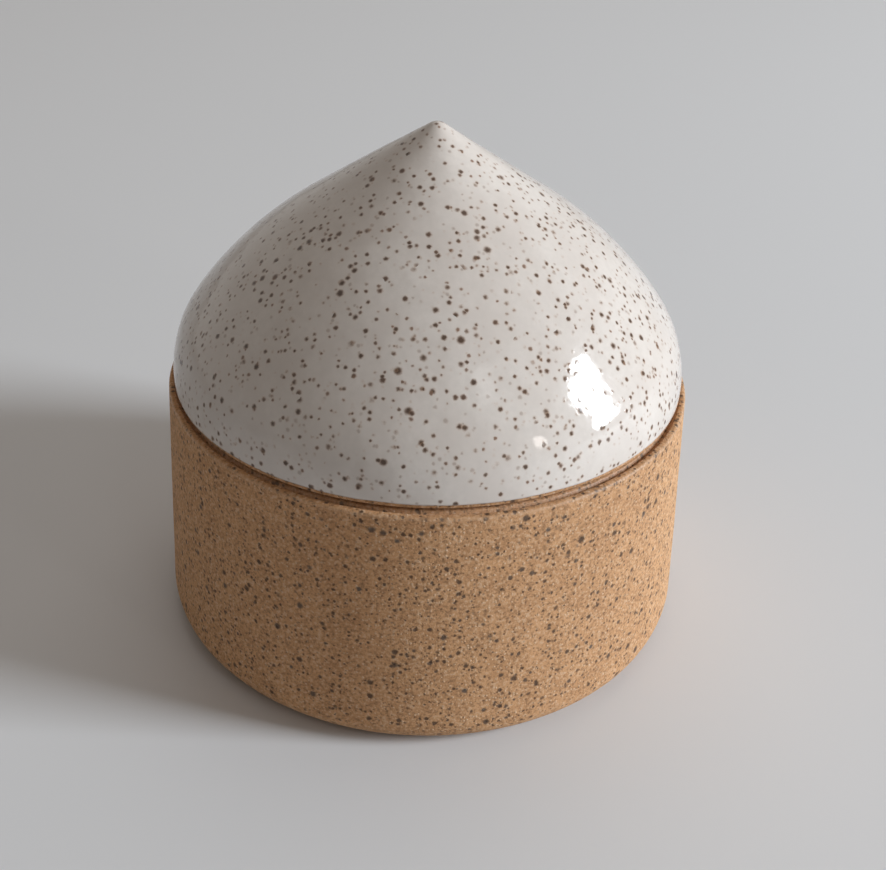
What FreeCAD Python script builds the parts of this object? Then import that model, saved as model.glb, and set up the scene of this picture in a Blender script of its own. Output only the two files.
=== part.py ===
import FreeCAD, Part
import math
import os
from types import SimpleNamespace

import Sketcher

# A stoneware salt box: a round pot of raw clay and a pointed dome lid with a glaze coat.
# Every piece is turned about the Z axis. The origin is the centre of the foot, on the table.

# name, millimetres, what it measures
SIZES = [
    ("pot_height", 50.0, "table to the seat of the lid"),
    ("rim_radius", 50.0, "outer wall, carried up to the height of the seat"),
    ("foot_radius", 53.1, "outer wall, carried down to the table"),
    ("foot_round", 5.5, "rounding of the outer wall into the foot"),
    ("rim_round", 1.5, "rounding of the rim's outer edge"),
    ("mouth_round", 0.8, "rounding of the rim's inner edge"),
    ("wall_at_rim", 5.0, "clay wall at the height of the seat"),
    ("wall_at_foot", 6.5, "clay wall, carried down to the table"),
    ("floor_thickness", 5.0, "clay floor inside the foot ring"),
    ("floor_round", 10.0, "rounding of the inner wall into the floor"),
    ("foot_recess", 1.5, "how far the underside is trimmed inside the foot ring"),
    ("foot_ring_width", 6.0, "flat ring that stands on the table"),
    ("glaze_thickness", 0.35, "every coat of glaze"),
    ("liner_drop", 2.5, "bare clay inside the mouth, above the pot's liner"),
    ("lid_inset", 1.2, "step from the outer wall in to the glazed edge of the lid"),
    ("lid_height", 49.0, "seat to the tip of the lid"),
    ("break_inset", 12.4, "skirt in to where the shoulder and flank slopes would meet"),
    ("break_height", 25.5, "seat up to where the shoulder and flank slopes would meet"),
    ("shoulder_round", 20.0, "rounding of the skirt into the shoulder"),
    ("tip_round", 2.6, "rounding of the tip, over the glaze"),
    ("bare_edge", 1.5, "bare clay from the seat up to the edge of the lid's glaze"),
    ("straight_skirt", 0.27, "upright skirt above the rounded edge of the lid's glaze"),
    ("lid_edge_round", 1.0, "rounding of the lid's lower outer edge"),
    ("lid_wall", 5.0, "clay of the lid's flank"),
    ("lid_inner_round", 20.0, "rounding inside the shoulder of the lid"),
    ("apex_round", 6.0, "rounding inside the tip of the lid"),
    ("flange_depth", 6.0, "how far the locating flange drops below the seat"),
    ("flange_wall", 3.6, "clay of the locating flange"),
    ("flange_round", 1.2, "rounding of the flange's lower edges"),
    ("flange_bare", 3.0, "bare clay at the flange's lower end, below the lid's liner"),
    ("lid_play", 0.75, "gap all round between the flange and the pot's liner"),
]


class Size:
    """A length and the sheet expression that drives it."""

    def __init__(self, value, text):
        self.value = value
        self.text = text

    def __add__(self, other):
        return Size(self.value + other.value, f"({self.text} + {other.text})")

    def __sub__(self, other):
        return Size(self.value - other.value, f"({self.text} - {other.text})")


def make_sheet(doc):
    """The spreadsheet of driving sizes, and the same sizes for the sketches' constraints."""
    sheet = doc.addObject("Spreadsheet::Sheet", "Sizes")
    for row, (name, value, meaning) in enumerate(SIZES, start=1):
        sheet.set(f"A{row}", meaning)
        sheet.set(f"B{row}", str(value))
        sheet.setAlias(f"B{row}", name)
    doc.recompute()
    return SimpleNamespace(**{name: Size(value, f"Sizes.{name}") for name, value, _ in SIZES})


def unit(start, end):
    """The direction from one point to another."""
    length = math.dist(start, end)
    return ((end[0] - start[0]) / length, (end[1] - start[1]) / length)


class Run:
    """Lines with rounded corners between them, tangent where they meet, drawn in a sketch.

    Each corner is (x, z, radius). A radius of 0 leaves it sharp, and a radius of None takes all
    that the line before it has left. An end corner with a radius lies on the axis and is half
    an arc that crosses it squarely.
    """

    def __init__(self, sketch, corners, construction=False):
        self.sketch = sketch
        self.corners = corners
        self.construction = construction
        self.lines = []
        self.arcs = []
        self.pieces = []
        self.draw()

    def add(self, shape, entry, leave):
        """Add a line or arc and join it to the one before it."""
        index = self.sketch.addGeometry(shape, self.construction)
        is_arc = isinstance(shape, Part.ArcOfCircle)
        if self.pieces:
            last, _, last_leave, last_is_arc = self.pieces[-1]
            kind = "Tangent" if is_arc or last_is_arc else "Coincident"
            self.sketch.addConstraint(Sketcher.Constraint(kind, last, last_leave, index, entry))
        self.pieces.append((index, entry, leave, is_arc))
        (self.arcs if is_arc else self.lines).append(index)

    def add_arc(self, start, heading, turn, radius, half=""):
        """An arc that leaves start along heading and turns left (positive) or right."""
        side = math.copysign(1.0, turn)
        centre = (start[0] - side * heading[1] * radius, start[1] + side * heading[0] * radius)
        first = math.atan2(start[1] - centre[1], start[0] - centre[0])
        last = first + turn
        if half == "first":
            first = math.copysign(math.pi / 2, math.sin(first + turn / 2))
        if half == "last":
            last = math.copysign(math.pi / 2, math.sin(first + turn / 2))
        circle = Part.Circle(point(*centre), FreeCAD.Vector(0, 0, 1), radius)
        if turn > 0:
            self.add(Part.ArcOfCircle(circle, first, last), 1, 2)
        else:
            self.add(Part.ArcOfCircle(circle, last, first), 2, 1)

    def draw(self):
        """Draw every line and arc where the sizes put them, or very near."""
        corners = self.corners
        spots = [(x, z) for x, z, _ in corners]
        mirror_first = (-spots[1][0], spots[1][1])
        mirror_last = (-spots[-2][0], spots[-2][1])
        before = [mirror_first] + spots[:-1]
        after = spots[1:] + [mirror_last]
        here = spots[0]
        for i, (x, z, radius) in enumerate(corners):
            spot = (x, z)
            if radius == 0:
                if i:
                    self.add(Part.LineSegment(point(*here), point(*spot)), 1, 2)
                here = spot
                continue
            into = unit(before[i], spot)
            out = unit(spot, after[i])
            turn = math.atan2(into[0] * out[1] - into[1] * out[0], into[0] * out[0] + into[1] * out[1])
            if radius is None:
                reach = math.dist(here, spot)
                radius = reach / math.tan(abs(turn) / 2)
            else:
                reach = radius * math.tan(abs(turn) / 2)
                start = (x - into[0] * reach, z - into[1] * reach)
                if i:
                    self.add(Part.LineSegment(point(*here), point(*start)), 1, 2)
                here = start
            half = "first" if i == 0 else "last" if i == len(corners) - 1 else ""
            self.add_arc(here, into, turn, radius, half)
            here = (x + out[0] * reach, z + out[1] * reach)

    def ends(self):
        """The first and the last point, as a piece and the place on it."""
        return self.pieces[0][:2], (self.pieces[-1][0], self.pieces[-1][2])


def point(x, z):
    """A point of a sketch."""
    return FreeCAD.Vector(x, z, 0)


def inset(corners, distance):
    """The same corners moved square to their lines, to the left of the way they run."""
    spots = [(x, z) for x, z, _ in corners]
    moved = []
    for i, (x, z, radius) in enumerate(corners):
        before = spots[i - 1] if i else (-spots[1][0], spots[1][1])
        after = spots[i + 1] if i + 1 < len(spots) else (-spots[-2][0], spots[-2][1])
        if radius == 0 and i == 0:
            before = (2 * x - after[0], 2 * z - after[1])
        if radius == 0 and i + 1 == len(spots):
            after = (2 * x - before[0], 2 * z - before[1])
        into = unit(before, (x, z))
        out = unit((x, z), after)
        share = distance / (1 + into[0] * out[0] + into[1] * out[1])
        turn = into[0] * out[1] - into[1] * out[0]
        if radius:
            radius -= distance * math.copysign(1.0, turn)
        moved.append((x - share * (into[1] + out[1]), z + share * (into[0] + out[0]), radius))
    return moved


def shortened(corners, distance):
    """The same corners with the last one drawn back along its line."""
    x, z, radius = corners[-1]
    along = unit(corners[-2][:2], (x, z))
    return corners[:-1] + [(x - along[0] * distance, z - along[1] * distance, radius)]


# the ids that every sketch gives its own origin, its line along the table and its upright axis
ORIGIN = (-1, 1)
TABLE_ID = -1
AXIS_ID = -2


def bind(sketch, kind, where, size, name):
    """A dimension of a sketch that follows the sheet."""
    index = sketch.addConstraint(Sketcher.Constraint(kind, *where, size.value))
    sketch.renameConstraint(index, name)
    sketch.setExpression(f"Constraints.{name}", size.text)


def fix(sketch, kind, *where):
    """A constraint with no size."""
    sketch.addConstraint(Sketcher.Constraint(kind, *where))


def new_sketch(body):
    """A sketch on the body's own XZ plane."""
    sketch = body.newObject("Sketcher::SketchObject", f"{body.Name}_outline")
    plane = next(item for item in body.Origin.OriginFeatures if item.Role == "XZ_Plane")
    sketch.AttachmentSupport = [(plane, "")]
    sketch.MapMode = "FlatFace"
    return sketch


def turn_solid(body, sketch):
    """Turn the outline once about the Z axis."""
    turned = body.newObject("PartDesign::Revolution", f"{body.Name}_turned")
    turned.Profile = sketch
    turned.ReferenceAxis = (sketch, ["V_Axis"])
    turned.Angle = 360
    sketch.Visibility = False
    body.Tip = turned


def close_on_axis(sketch, start, end):
    """A line on the axis from the end of an outline back to its start."""
    line = sketch.addGeometry(Part.LineSegment(sketch.getPoint(*end), sketch.getPoint(*start)), False)
    fix(sketch, "Coincident", line, 1, *end)
    fix(sketch, "Coincident", line, 2, *start)


def cross_axis(sketch, arc):
    """Centre an arc on the axis and end it level there, so that it can't turn upside down."""
    top = sketch.getPoint(arc, 2)
    side = sketch.getPoint(arc, 1)
    level = sketch.addGeometry(Part.LineSegment(top, point(side.x, top.y)), True)
    fix(sketch, "PointOnObject", arc, 3, AXIS_ID)
    fix(sketch, "Tangent", arc, 2, level, 1)
    fix(sketch, "Horizontal", level)
    fix(sketch, "Vertical", level, 2, arc, 1)


def lean(sketch, line, foot, top, height, name):
    """Hold a wall line to its radius at the table and its radius at the height of the seat."""
    low = sketch.addGeometry(Part.Point(point(foot.value, 0)), True)
    high = sketch.addGeometry(Part.Point(point(top.value, height.value)), True)
    fix(sketch, "PointOnObject", low, 1, TABLE_ID)
    bind(sketch, "DistanceX", (*ORIGIN, low, 1), foot, f"{name}_at_table")
    bind(sketch, "DistanceX", (*ORIGIN, high, 1), top, f"{name}_at_seat")
    bind(sketch, "DistanceY", (*ORIGIN, high, 1), height, f"{name}_seat_height")
    fix(sketch, "PointOnObject", low, 1, line)
    fix(sketch, "PointOnObject", high, 1, line)


def wall_radius(foot, top, height, level):
    """The radius of a leaning wall at a level, for a sketch's first guess."""
    return foot.value + (top.value - foot.value) * level / height.value


def pot_inner_radii(s):
    """The inner clay wall's radius at the table and at the seat."""
    return s.foot_radius - s.wall_at_foot, s.rim_radius - s.wall_at_rim


def pot_body(body, s):
    """The raw clay pot: trimmed foot, leaning wall, rounded rim and hollow."""
    sketch = new_sketch(body)
    inner_foot, inner_top = pot_inner_radii(s)
    height = s.pot_height
    floor_top = s.foot_recess + s.floor_thickness
    recess = s.foot_recess.value
    floor_z = floor_top.value
    ring_out = s.foot_radius.value - s.foot_round.value
    ring_in = ring_out - s.foot_ring_width.value
    floor_r = wall_radius(inner_foot, inner_top, height, floor_z)
    outline = Run(sketch, [
        (0, recess, 0),
        (ring_in - recess, recess, 0),
        (ring_in, 0, 0),
        (s.foot_radius.value, 0, s.foot_round.value),
        (s.rim_radius.value, height.value, s.rim_round.value),
        (inner_top.value, height.value, s.mouth_round.value),
        (floor_r, floor_z, s.floor_round.value),
        (0, floor_z, 0),
    ])
    under, step, table, wall, rim, inner, floor = outline.lines
    foot_arc, rim_arc, mouth_arc, floor_arc = outline.arcs
    for line in (under, rim, floor):
        fix(sketch, "Horizontal", line)
    start, end = outline.ends()
    fix(sketch, "PointOnObject", *start, AXIS_ID)
    fix(sketch, "PointOnObject", *end, AXIS_ID)
    fix(sketch, "PointOnObject", table, 1, TABLE_ID)
    fix(sketch, "PointOnObject", table, 2, TABLE_ID)
    bind(sketch, "DistanceY", (*ORIGIN, under, 1), s.foot_recess, "foot_recess")
    bind(sketch, "DistanceX", (step, 1, step, 2), s.foot_recess, "recess_slope")
    bind(sketch, "DistanceX", (table, 1, table, 2), s.foot_ring_width, "foot_ring_width")
    bind(sketch, "Radius", (foot_arc,), s.foot_round, "foot_round")
    bind(sketch, "Radius", (rim_arc,), s.rim_round, "rim_round")
    bind(sketch, "Radius", (mouth_arc,), s.mouth_round, "mouth_round")
    bind(sketch, "Radius", (floor_arc,), s.floor_round, "floor_round")
    bind(sketch, "DistanceY", (*ORIGIN, rim, 1), height, "pot_height")
    bind(sketch, "DistanceY", (*ORIGIN, floor, 1), floor_top, "floor_top")
    lean(sketch, wall, s.foot_radius, s.rim_radius, height, "outer_wall")
    lean(sketch, inner, inner_foot, inner_top, height, "inner_wall")
    close_on_axis(sketch, start, end)
    turn_solid(body, sketch)


def coat_lip(sketch, clay, clay_end, coat, coat_end):
    """Round the end of a coat down to the clay it lies on."""
    edge = sketch.getPoint(clay, clay_end)
    top = sketch.getPoint(coat, coat_end)
    foot = foot_of(sketch, clay, top)
    radius = foot.distanceToPoint(top)
    circle = Part.Circle(foot, FreeCAD.Vector(0, 0, 1), radius)
    angles = [math.atan2(spot.y - foot.y, spot.x - foot.x) for spot in (edge, top)]
    ahead = (angles[1] - angles[0]) % (2 * math.pi) < math.pi
    first, last = (angles if ahead else angles[::-1])
    arc = sketch.addGeometry(Part.ArcOfCircle(circle, first, last), False)
    clay_side, coat_side = (1, 2) if ahead else (2, 1)
    fix(sketch, "PointOnObject", arc, 3, clay)
    fix(sketch, "Coincident", arc, clay_side, clay, clay_end)
    fix(sketch, "Tangent", arc, coat_side, coat, coat_end)


def foot_of(sketch, line, spot):
    """The point of a line that is nearest to a spot."""
    start = sketch.getPoint(line, 1)
    along = sketch.getPoint(line, 2) - start
    return start + along * ((spot - start).dot(along) / along.dot(along))


def pot_liner(body, s):
    """The glaze inside the pot: floor and wall, ending below the bare mouth."""
    sketch = new_sketch(body)
    inner_foot, inner_top = pot_inner_radii(s)
    height = s.pot_height
    glaze = s.glaze_thickness
    floor_top = s.foot_recess + s.floor_thickness
    edge = height - s.liner_drop
    floor_z = floor_top.value
    clay_corners = [
        (0, floor_z, 0),
        (wall_radius(inner_foot, inner_top, height, floor_z), floor_z, s.floor_round.value),
        (wall_radius(inner_foot, inner_top, height, edge.value), edge.value, 0),
    ]
    clay = Run(sketch, clay_corners)
    coat_corners = shortened(inset(clay_corners, glaze.value), glaze.value)
    coat = Run(sketch, coat_corners)
    floor, wall = clay.lines
    coat_floor, coat_wall = coat.lines
    for line in (floor, coat_floor):
        fix(sketch, "Horizontal", line)
    for run in (clay, coat):
        fix(sketch, "PointOnObject", *run.ends()[0], AXIS_ID)
    bind(sketch, "DistanceY", (*ORIGIN, floor, 1), floor_top, "floor_top")
    bind(sketch, "Radius", (clay.arcs[0],), s.floor_round, "floor_round")
    bind(sketch, "DistanceY", (*ORIGIN, wall, 2), edge, "liner_edge")
    lean(sketch, wall, inner_foot, inner_top, height, "inner_wall")
    bind(sketch, "DistanceY", (floor, 1, coat_floor, 1), glaze, "glaze_thickness")
    fix(sketch, "Coincident", clay.arcs[0], 3, coat.arcs[0], 3)
    fix(sketch, "Parallel", wall, coat_wall)
    coat_lip(sketch, wall, 2, coat_wall, 2)
    close_on_axis(sketch, clay.ends()[0], coat.ends()[0])
    turn_solid(body, sketch)


def skirt_top(s):
    """The height above the seat at which the lid's upright skirt turns into the shoulder."""
    return s.bare_edge + s.glaze_thickness + s.straight_skirt


def turn_to(across, up, radius):
    """How far an arc turns from upright before it points at a spot, seen from its centre."""
    return math.atan2(up, across) - math.acos(radius / math.hypot(across, up))


def lid_corners(s):
    """The corners of the glazed lid from its skirt to its tip, for a sketch's first guess."""
    seat = s.pot_height.value
    radius = s.rim_radius.value - s.lid_inset.value
    shoulder = s.shoulder_round.value
    skirt = skirt_top(s).value
    turn = turn_to(shoulder - s.break_inset.value, s.break_height.value - skirt, shoulder)
    reach = radius - s.break_inset.value
    rise = s.lid_height.value - s.tip_round.value - s.break_height.value
    slope = math.atan2(rise, reach) + math.asin(s.tip_round.value / math.hypot(reach, rise))
    break_level = seat + s.break_height.value
    return [
        (radius, seat, 0),
        (radius, seat + skirt + shoulder * math.tan(turn / 2), shoulder),
        (reach, break_level, None),
        (0, break_level + reach * math.tan(slope), s.tip_round.value),
    ]


def lid_form(sketch, s, construction, start):
    """The outer form of the glazed lid, from a start height on its skirt to its tip."""
    corners = lid_corners(s)
    radius = s.rim_radius - s.lid_inset
    seat = s.pot_height
    corners[0] = (corners[0][0], start.value, 0)
    form = Run(sketch, corners, construction)
    skirt, flank = form.lines
    shoulder, crown, tip = form.arcs
    fix(sketch, "Vertical", skirt)
    bind(sketch, "DistanceX", (*ORIGIN, skirt, 1), radius, "lid_radius")
    if construction:
        bind(sketch, "DistanceY", (*ORIGIN, skirt, 1), start, "skirt_start")
    bind(sketch, "DistanceY", (*ORIGIN, skirt, 2), seat + skirt_top(s), "skirt_top")
    bind(sketch, "Radius", (shoulder,), s.shoulder_round, "shoulder_round")
    bind(sketch, "Radius", (tip,), s.tip_round, "tip_round")
    cross_axis(sketch, tip)
    bind(sketch, "DistanceY", (*ORIGIN, tip, 2), seat + s.lid_height, "tip_height")
    x, z, _ = corners[2]
    slope_start = sketch.getPoint(shoulder, 2)
    slope = sketch.addGeometry(Part.LineSegment(slope_start, point(x, z)), True)
    fix(sketch, "Tangent", shoulder, 2, slope, 1)
    bind(sketch, "DistanceX", (slope, 2, skirt, 1), s.break_inset, "break_inset")
    bind(sketch, "DistanceY", (*ORIGIN, slope, 2), seat + s.break_height, "break_height")
    fix(sketch, "PointOnObject", slope, 2, flank)
    return form


def follow(sketch, outer, flank, arcs):
    """Keep the clay at an even distance under the glazed form: same centres, flanks parallel."""
    shoulder, crown, tip = outer.arcs
    fix(sketch, "Coincident", shoulder, 3, arcs[0], 3)
    fix(sketch, "Coincident", crown, 3, arcs[1], 3)
    fix(sketch, "Horizontal", tip, 3, arcs[2], 3)
    cross_axis(sketch, arcs[2])
    fix(sketch, "Parallel", outer.lines[-1], flank)


def flange_radii(s):
    """The locating flange's outer and inner radius."""
    outer = s.rim_radius - s.wall_at_rim - s.glaze_thickness - s.lid_play
    return outer, outer - s.flange_wall


def inner_lid_corners(s, low):
    """The corners inside the lid from its tip down to a level, for a sketch's first guess."""
    _, (radius, _, _), (x, z, _), (_, apex, _) = lid_corners(s)
    run = unit((x, z), (0, apex))
    thick = s.lid_wall.value + s.glaze_thickness.value
    inner_apex = apex + thick / run[0]
    _, inner = flange_radii(s)
    corner = inner_apex + inner.value * run[1] / run[0]
    return [
        (0, inner_apex, s.apex_round.value),
        (inner.value, corner, s.lid_inner_round.value),
        (inner.value, low, 0),
    ]


def hold_inside(sketch, s, form, lines, arcs):
    """Hold the inside of the lid to its sizes: apex, flank, rounding and flange wall."""
    flank, bore = lines
    apex, rounding = arcs
    _, inner = flange_radii(s)
    cross_axis(sketch, apex)
    bind(sketch, "Radius", (apex,), s.apex_round, "apex_round")
    fix(sketch, "Parallel", form.lines[-1], flank)
    thick = s.lid_wall + s.glaze_thickness
    bind(sketch, "Distance", (flank, 1, form.lines[-1]), thick, "lid_wall")
    bind(sketch, "Radius", (rounding,), s.lid_inner_round, "lid_inner_round")
    fix(sketch, "Vertical", bore)
    bind(sketch, "DistanceX", (*ORIGIN, bore, 1), inner, "flange_inner_radius")


def lid_shell(body, s):
    """The clay of the lid: dome, bare edge, seat and locating flange."""
    sketch = new_sketch(body)
    seat = s.pot_height
    form = lid_form(sketch, s, True, seat)
    outer, inner = flange_radii(s)
    bottom = seat - s.flange_depth
    clay = inset(lid_corners(s), s.glaze_thickness.value)
    skirt_x = clay[0][0]
    outline = Run(sketch, inner_lid_corners(s, bottom.value)[:2] + [
        (inner.value, bottom.value, s.flange_round.value),
        (outer.value, bottom.value, s.flange_round.value),
        (outer.value, seat.value, 0),
        (skirt_x, seat.value, s.lid_edge_round.value),
    ] + clay[1:])
    inside, bore, end_face, flange, ledge, skirt, flank = outline.lines
    apex, rounding, inner_edge, outer_edge, lid_edge, *dome = outline.arcs
    hold_inside(sketch, s, form, (inside, bore), (apex, rounding))
    fix(sketch, "Horizontal", end_face)
    fix(sketch, "Vertical", flange)
    fix(sketch, "Horizontal", ledge)
    fix(sketch, "Vertical", skirt)
    bind(sketch, "DistanceY", (*ORIGIN, end_face, 1), bottom, "flange_bottom")
    bind(sketch, "Radius", (inner_edge,), s.flange_round, "flange_inner_edge")
    bind(sketch, "Radius", (outer_edge,), s.flange_round, "flange_outer_edge")
    bind(sketch, "DistanceX", (*ORIGIN, flange, 1), outer, "flange_radius")
    bind(sketch, "DistanceY", (*ORIGIN, ledge, 1), seat, "seat_height")
    bind(sketch, "Radius", (lid_edge,), s.lid_edge_round, "lid_edge_round")
    bind(sketch, "DistanceX", (skirt, 1, form.lines[0], 1), s.glaze_thickness, "glaze_thickness")
    follow(sketch, form, flank, dome)
    close_on_axis(sketch, *outline.ends())
    turn_solid(body, sketch)


def lid_glaze(body, s):
    """The gloss coat over the dome, ending in a rounded lip above the bare edge."""
    sketch = new_sketch(body)
    edge = s.pot_height + s.bare_edge
    form = lid_form(sketch, s, False, edge + s.glaze_thickness)
    corners = inset(lid_corners(s), s.glaze_thickness.value)
    corners[0] = (corners[0][0], edge.value, 0)
    clay = Run(sketch, corners)
    skirt, flank = clay.lines
    fix(sketch, "Vertical", skirt)
    bind(sketch, "DistanceX", (skirt, 1, form.lines[0], 1), s.glaze_thickness, "glaze_thickness")
    bind(sketch, "DistanceY", (*ORIGIN, skirt, 1), edge, "glaze_edge")
    follow(sketch, form, flank, clay.arcs)
    coat_lip(sketch, skirt, 1, form.lines[0], 1)
    close_on_axis(sketch, clay.ends()[1], form.ends()[1])
    turn_solid(body, sketch)


def lid_liner(body, s):
    """The glaze inside the dome, ending above the flange's bare end."""
    sketch = new_sketch(body)
    form = lid_form(sketch, s, True, s.pot_height)
    edge = s.pot_height - s.flange_depth + s.flange_bare
    corners = inner_lid_corners(s, edge.value)
    clay = Run(sketch, corners)
    hold_inside(sketch, s, form, clay.lines, clay.arcs)
    bind(sketch, "DistanceY", (*ORIGIN, clay.lines[1], 2), edge, "liner_edge")
    coat = Run(sketch, shortened(inset(corners, -s.glaze_thickness.value), s.glaze_thickness.value))
    flank, bore = coat.lines
    fix(sketch, "Parallel", clay.lines[0], flank)
    fix(sketch, "Vertical", bore)
    bind(sketch, "DistanceX", (bore, 1, clay.lines[1], 1), s.glaze_thickness, "glaze_thickness")
    fix(sketch, "Horizontal", clay.arcs[0], 3, coat.arcs[0], 3)
    fix(sketch, "Coincident", clay.arcs[1], 3, coat.arcs[1], 3)
    cross_axis(sketch, coat.arcs[0])
    coat_lip(sketch, clay.lines[1], 2, bore, 2)
    close_on_axis(sketch, clay.ends()[0], coat.ends()[0])
    turn_solid(body, sketch)


PIECES = [pot_body, pot_liner, lid_shell, lid_glaze, lid_liner]


def check(doc):
    """Stop if any object failed or any sketch still has a size left open."""
    for item in doc.Objects:
        if "Invalid" in item.State or "Error" in item.State:
            raise RuntimeError(f"{item.Name} failed: {item.State}")
        if item.TypeId == "Sketcher::SketchObject":
            if item.solve() != 0:
                raise RuntimeError(f"{item.Name} does not solve")
            if not item.FullyConstrained:
                raise RuntimeError(f"{item.Name} has a size left open")


def main():
    doc = FreeCAD.newDocument("salt_box")
    sizes = make_sheet(doc)
    bodies = []
    for make in PIECES:
        body = doc.addObject("PartDesign::Body", make.__name__)
        body.Label = make.__name__
        body.Placement = FreeCAD.Placement()
        make(body, sizes)
        doc.recompute()
        bodies.append(body)
    check(doc)
    for body in bodies:
        if body.Shape.isNull() or not body.Shape.isValid() or len(body.Shape.Solids) != 1:
            raise RuntimeError(f"{body.Label} is not one valid solid")
    os.makedirs("parts", exist_ok=True)
    for body in bodies:
        body.Shape.exportStep(f"parts/{body.Label}.step")
        box = body.Shape.optimalBoundingBox(False, False)
        print(f"{body.Label}: {body.Shape.Volume:.1f} mm3, z {box.ZMin:.2f} to {box.ZMax:.2f}, "
              f"radius {box.XMax:.2f}")


main()
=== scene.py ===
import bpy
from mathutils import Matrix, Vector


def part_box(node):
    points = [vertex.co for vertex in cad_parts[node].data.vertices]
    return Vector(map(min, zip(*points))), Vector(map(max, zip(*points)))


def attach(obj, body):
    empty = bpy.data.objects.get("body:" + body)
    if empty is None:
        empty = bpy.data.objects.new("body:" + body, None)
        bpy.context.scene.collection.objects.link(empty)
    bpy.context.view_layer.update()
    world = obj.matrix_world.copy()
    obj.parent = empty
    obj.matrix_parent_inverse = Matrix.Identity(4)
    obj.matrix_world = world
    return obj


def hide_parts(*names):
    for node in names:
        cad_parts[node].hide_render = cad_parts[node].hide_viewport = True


bl_info = {
    "name": "Speckled Salt Box",
    "version": (1, 0, 0),
    "blender": (4, 5, 0),
    "location": "View3D > Sidebar > Salt Box",
    "description": "A wheel-thrown stoneware salt box with a gloss glazed lid",
    "category": "Add Mesh",
}

import math
from collections import namedtuple

import bmesh
import bpy
from bpy.props import FloatProperty, FloatVectorProperty, IntProperty, PointerProperty
from bpy.types import NodeSocket, Operator, Panel, PropertyGroup
from mathutils import Matrix, Vector, noise

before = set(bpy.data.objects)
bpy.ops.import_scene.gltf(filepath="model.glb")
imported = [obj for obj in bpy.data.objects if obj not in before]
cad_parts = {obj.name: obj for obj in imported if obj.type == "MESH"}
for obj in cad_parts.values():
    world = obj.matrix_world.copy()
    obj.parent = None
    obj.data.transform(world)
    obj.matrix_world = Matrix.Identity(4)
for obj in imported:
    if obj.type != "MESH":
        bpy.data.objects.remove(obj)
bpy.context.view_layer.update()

# Levels and radii that the solids set, in metres.
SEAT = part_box("pot_body")[1].z
FLOOR_TOP, POT_LINER_EDGE = (corner.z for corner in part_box("pot_liner"))
GLAZE_EDGE, TIP_TOP = (corner.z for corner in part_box("lid_glaze"))
LID_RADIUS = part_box("lid_glaze")[1].x
FLANGE_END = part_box("lid_shell")[0].z
LID_LINER_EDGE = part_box("lid_liner")[0].z
FLANGE_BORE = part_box("lid_liner")[1].x


# Settings


def length(name, description, default):
    """A length that a user may change, in metres."""
    return FloatProperty(name=name, description=description, default=default,
                         unit="LENGTH", precision=5, step=0.01)


def colour(name, description, default):
    """A linear colour that a user may change."""
    return FloatVectorProperty(name=name, description=description, default=default,
                               size=3, min=0.0, max=1.0, subtype="COLOR")


class SaltBoxSizes(PropertyGroup):
    """Sizes of the thrown walls. Heights and the lid's radii come from the frame."""

    rim_radius: length("Rim radius", "Outer wall, carried up to the height of the seat", 0.05)
    foot_radius: length("Foot radius", "Outer wall, carried down to the table", 0.0531)
    foot_round: length("Foot rounding", "Outer wall into the foot", 0.0055)
    rim_round: length("Rim rounding", "The rim's outer edge", 0.0006)
    dip_depth: length("Dip depth", "How far the rim dips round the lid's edge", 0.0007)
    dip_outside: length("Dip outside", "Lid's edge out to the outside of that dip", 0.0002)
    dip_inside: length("Dip inside", "Lid's edge in to the inside of that dip", 0.0010)
    mouth_round: length("Mouth rounding", "The rim's inner edge", 0.0008)
    wall_at_rim: length("Wall at the rim", "Clay wall at the height of the seat", 0.005)
    wall_at_foot: length("Wall at the foot", "Clay wall, carried down to the table", 0.0065)
    floor_round: length("Floor rounding", "Inner wall into the floor", 0.01)
    foot_recess: length("Foot recess", "Depth trimmed away inside the foot ring", 0.0015)
    foot_ring: length("Foot ring", "Width of the flat ring that stands on the table", 0.006)
    trimmed_edge: length("Trimmed edges", "Softening of the edges cut inside the foot", 0.0005)
    glaze: length("Glaze", "Thickness of every coat of glaze", 0.00035)
    straight_skirt: length("Straight skirt", "Upright skirt above the edge of the glaze", 0.00027)
    shoulder_round: length("Shoulder rounding", "The skirt into the shoulder", 0.02)
    break_inset: length("Break inset", "Skirt in to where shoulder and flank would meet", 0.0124)
    break_height: length("Break height", "Seat up to where shoulder and flank would meet", 0.0255)
    tip_round: length("Tip rounding", "The tip, over the glaze", 0.0026)
    lid_edge_round: length("Lid edge rounding", "The lid's lower outer edge", 0.0003)
    undercut_depth: length("Undercut depth", "How far the lid is cut in above its seat", 0.0024)
    undercut_height: length("Undercut height", "How high that cut is at the lid's edge", 0.0008)
    lid_wall: length("Lid wall", "Clay of the lid's flank", 0.005)
    lid_inner_round: length("Inner rounding", "Inside the shoulder of the lid", 0.02)
    apex_round: length("Apex rounding", "Inside the tip of the lid", 0.006)
    flange_wall: length("Flange wall", "Clay of the locating flange", 0.0036)
    flange_round: length("Flange rounding", "The flange's lower edges", 0.0012)
    seen_step: length("Seen step", "Mesh step along a surface that shows", 0.00055)
    hidden_step: length("Hidden step", "Mesh step along a surface under a glaze", 0.002)
    sides: IntProperty(name="Sides", description="Faces in one turn of a wall", default=384,
                       min=24, subtype="UNSIGNED")


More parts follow.
